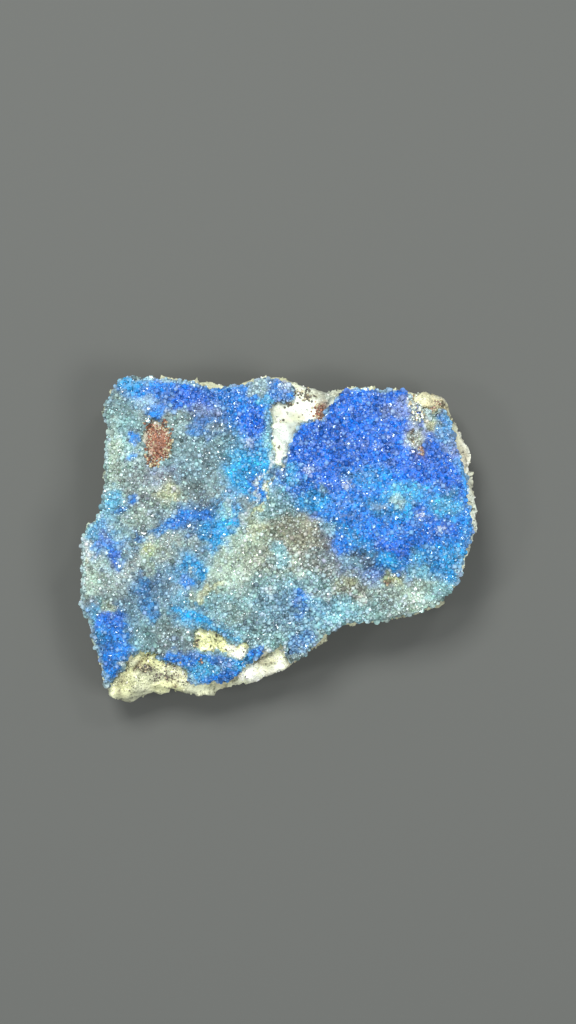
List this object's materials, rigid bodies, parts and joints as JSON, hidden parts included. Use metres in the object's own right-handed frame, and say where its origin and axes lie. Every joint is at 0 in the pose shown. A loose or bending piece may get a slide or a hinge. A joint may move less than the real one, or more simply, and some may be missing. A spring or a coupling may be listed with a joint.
{
  "type": "kinoite mineral specimen",
  "caption": "Rough slab of pale skarn rock with a blue and grey-green crust of fine glassy crystals over its face, lying on its broken back.",
  "frame": {"origin": "under the middle of the slab, on the plane that it rests on", "axes": "+X along the longest side, +Y across it towards the broken vein, +Z out of the crystal face"},
  "size_m": [0.058, 0.0477, 0.0144],
  "materials": {
    "host_rock": "rough broken rock, cream to tan with dark grains",
    "crystal_crust": "fine glassy crystals over blue, teal and grey mineral"
  },
  "bodies": {
    "root": {"host_rock": "host_rock", "crystal_crust": "crystal_crust"}
  },
  "joints": []
}
